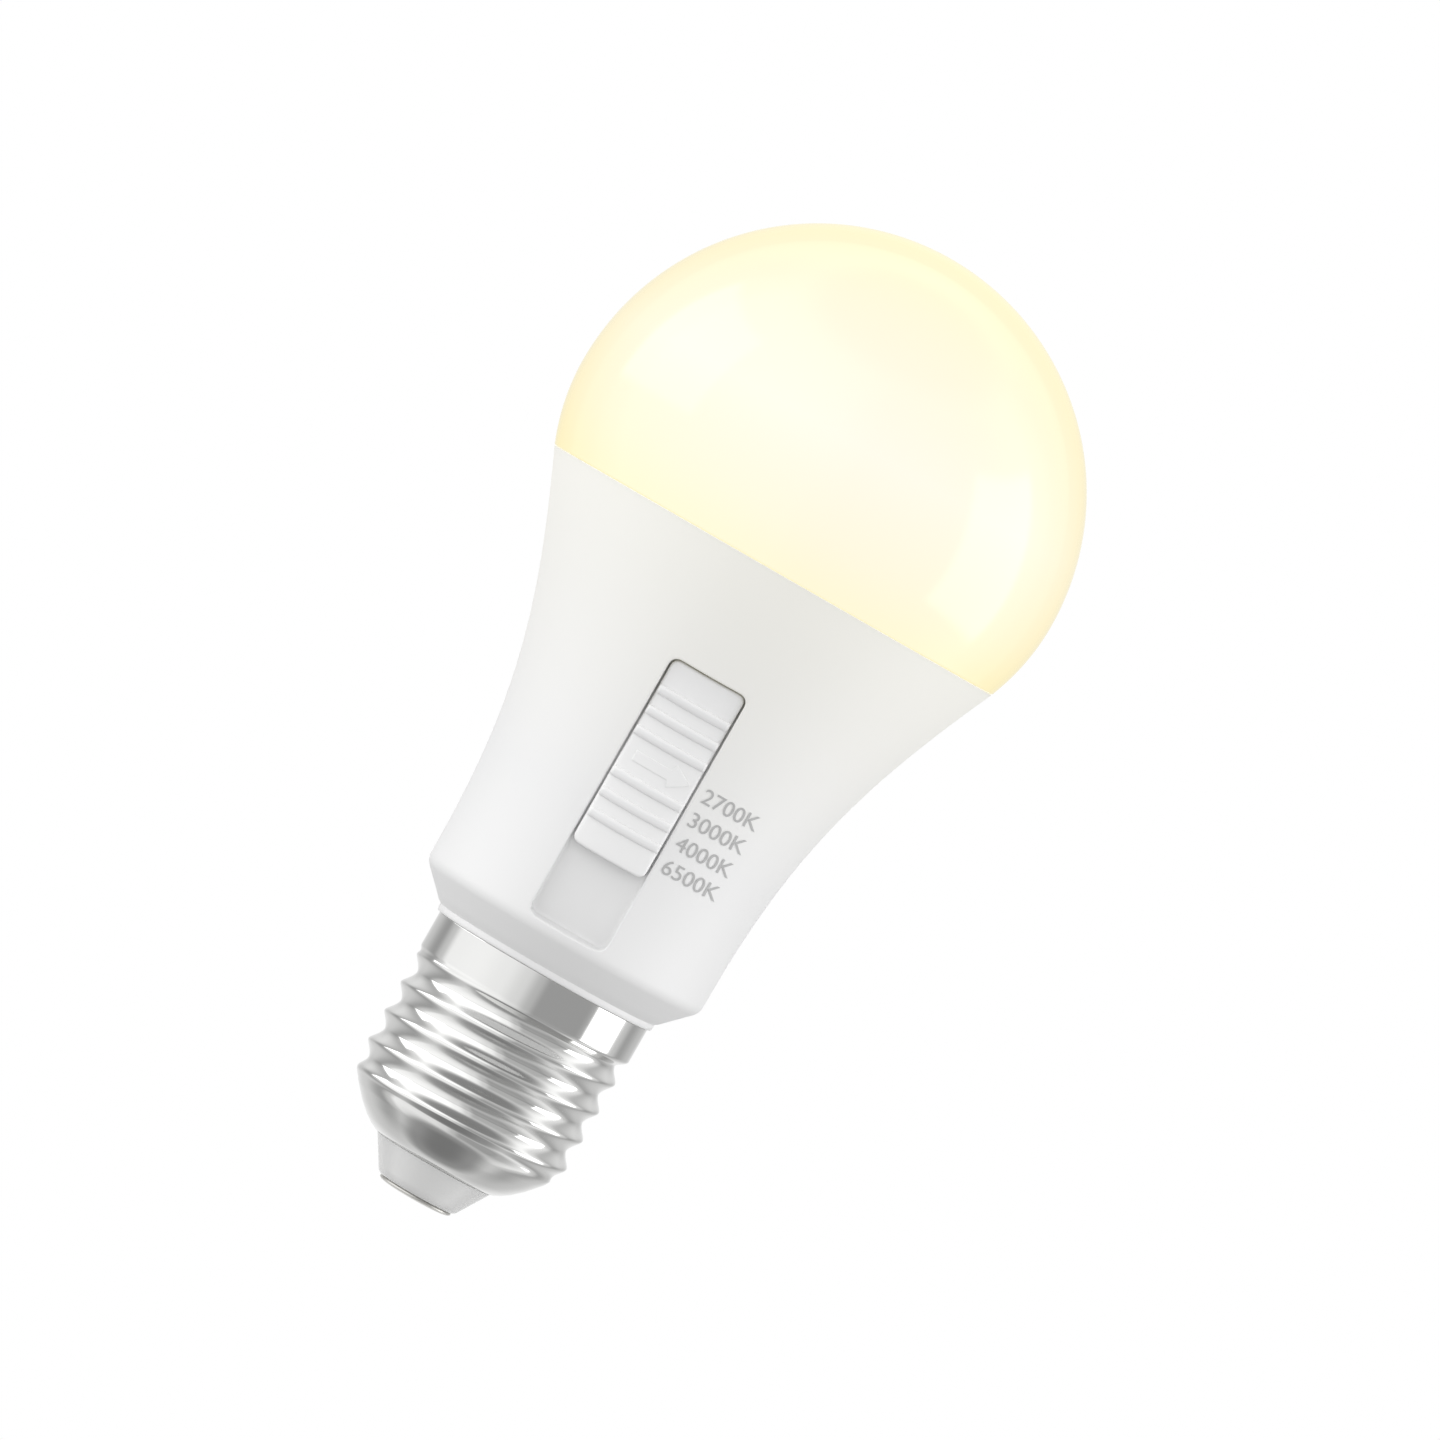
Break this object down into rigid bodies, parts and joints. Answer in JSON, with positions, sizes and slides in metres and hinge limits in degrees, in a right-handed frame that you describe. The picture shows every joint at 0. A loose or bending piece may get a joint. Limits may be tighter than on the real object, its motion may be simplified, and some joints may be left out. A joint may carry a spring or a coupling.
{
  "type": "smart light bulb",
  "caption": "Pear-shaped screw-cap LED lamp with a milky dome, a flared white housing and a slide selector for its colour temperature.",
  "frame": {"origin": "middle of the centre contact's flat end, at the bottom of the screw cap", "axes": "+Z along the lamp's axis from the cap to the dome, -Y out through the selector, +X to the right of someone who looks at the selector"},
  "size_m": [0.06, 0.06, 0.1205],
  "materials": {
    "milky_dome": "opal polycarbonate, evenly lit from inside",
    "white_housing": "fine matt white moulding",
    "white_button": "smooth matt white moulding",
    "inner_nylon": "plain white nylon",
    "nickel_cap": "rolled nickel-plated sheet",
    "insulator_white": "pale moulded insulator",
    "contact_metal": "plated contact, satin",
    "drawn_aluminium": "drawn, satin",
    "silicone_seal": "cured silicone bead",
    "white_mask_board": "white solder mask on an aluminium core",
    "green_board": "green solder mask",
    "blue_board": "blue solder mask",
    "warm_phosphor": "orange phosphor, lit",
    "cool_phosphor": "yellow phosphor",
    "tinned_steel": "tin plated",
    "black_epoxy": "moulded epoxy",
    "capacitor_sleeve": "shrink sleeve",
    "film_yellow": "dipped yellow coating",
    "ferrite": "sintered ferrite",
    "copper_winding": "enamelled copper wire",
    "resistor_blue": "lacquered body",
    "varistor_blue": "dipped blue coating",
    "red_wire": "PVC insulation",
    "blue_wire": "PVC insulation",
    "grey_ribbon": "flat ribbon insulation"
  },
  "bodies": {
    "bulb": {"board_screw_1": "tinned_steel", "board_screw_2": "tinned_steel", "bridge_rectifier": "black_epoxy", "bulk_capacitor": "capacitor_sleeve", "cap_insulator": "insulator_white", "centre_contact": "contact_metal", "diffuser_dome": "milky_dome", "dome_seal": "silicone_seal", "driver_board": "green_board", "driver_chip": "black_epoxy", "film_capacitor": "film_yellow", "fusible_resistor": "resistor_blue", "heat_sink_cup": "drawn_aluminium", "housing_shell": "white_housing", "led_cool_1": "cool_phosphor", "led_cool_2": "cool_phosphor", "led_cool_3": "cool_phosphor", "led_cool_4": "cool_phosphor", "led_cool_5": "cool_phosphor", "led_cool_6": "cool_phosphor", "led_warm_1": "warm_phosphor", "led_warm_2": "warm_phosphor", "led_warm_3": "warm_phosphor", "led_warm_4": "warm_phosphor", "led_warm_5": "warm_phosphor", "led_warm_6": "warm_phosphor", "light_board": "white_mask_board", "light_board_socket": "inner_nylon", "live_wire": "red_wire", "neutral_wire": "blue_wire", "power_inductor": "ferrite", "radio_board": "blue_board", "radio_header": "black_epoxy", "radio_shield": "tinned_steel", "screw_cap": "nickel_cap", "selector_tray": "inner_nylon", "supply_pin_1": "tinned_steel", "supply_pin_2": "tinned_steel", "supply_pin_3": "tinned_steel", "switch_board": "green_board", "switch_body": "black_epoxy", "switch_ribbon": "grey_ribbon", "transformer_core": "ferrite", "transformer_winding": "copper_winding", "varistor": "varistor_blue"},
    "selector": {"selector_button": "white_button", "selector_carrier": "inner_nylon", "switch_lever": "inner_nylon"}
  },
  "joints": [
    {"name": "selector_slide", "type": "slide", "parent": "bulb", "child": "selector", "axis": [0, 0.1529, -0.9882], "range_m": [0, 0.009]}
  ]
}
